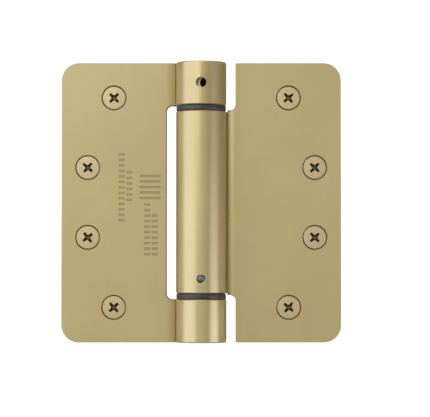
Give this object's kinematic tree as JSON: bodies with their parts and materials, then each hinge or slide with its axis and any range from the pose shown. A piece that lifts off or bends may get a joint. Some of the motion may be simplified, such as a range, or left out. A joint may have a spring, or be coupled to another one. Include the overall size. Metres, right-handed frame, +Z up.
{
  "type": "spring door hinge",
  "caption": "Self-closing square door hinge with rounded corners: two screwed leaves, a sprung barrel on black bearings, and an adjusting hub under a pin hole.",
  "frame": {"origin": "on the pivot axis at mid height", "axes": "+Z up the pivot, +X from the frame leaf to the door leaf laid open flat, +Y out of the leaves' backs into the door and its frame"},
  "size_m": [0.1016, 0.0353, 0.1016],
  "materials": {
    "satin_brass_leaf": "satin brass plate on steel, finely brushed and lacquered",
    "satin_brass_screw": "satin brass plate on steel",
    "black_bearing": "moulded, slightly glossy",
    "zinc_steel": "bright zinc plate",
    "dark_steel": "black oxide",
    "spring_steel": "oiled, oil-tempered wire"
  },
  "bodies": {
    "frame_leaf": {"frame_leaf": "satin_brass_leaf", "lower_bearing": "black_bearing", "bottom_cap": "satin_brass_leaf", "hub_retaining_ring": "dark_steel", "frame_screw_1": "satin_brass_screw", "frame_screw_2": "satin_brass_screw", "frame_screw_3": "satin_brass_screw", "frame_screw_4": "satin_brass_screw"},
    "door_leaf": {"door_leaf": "satin_brass_leaf", "upper_bearing": "black_bearing", "torsion_spring": "spring_steel", "spring_plug": "zinc_steel", "pivot_pin": "zinc_steel", "anchor_pin": "zinc_steel", "door_screw_1": "satin_brass_screw", "door_screw_2": "satin_brass_screw", "door_screw_3": "satin_brass_screw", "door_screw_4": "satin_brass_screw"},
    "tension_hub": {"tension_hub": "zinc_steel", "thrust_washer": "zinc_steel"}
  },
  "joints": [
    {"name": "leaf_swing", "type": "hinge", "parent": "frame_leaf", "child": "door_leaf", "pos_m": [0, 0, 0], "axis": [0, 0, -1], "range_deg": [0, 180]},
    {"name": "tension_turn", "type": "hinge", "parent": "door_leaf", "child": "tension_hub", "pos_m": [0, 0, 0], "axis": [0, 0, -1], "range_deg": [0, 180], "stiffness_Nm_per_rad": 0.1, "deforming": ["torsion_spring"]}
  ]
}
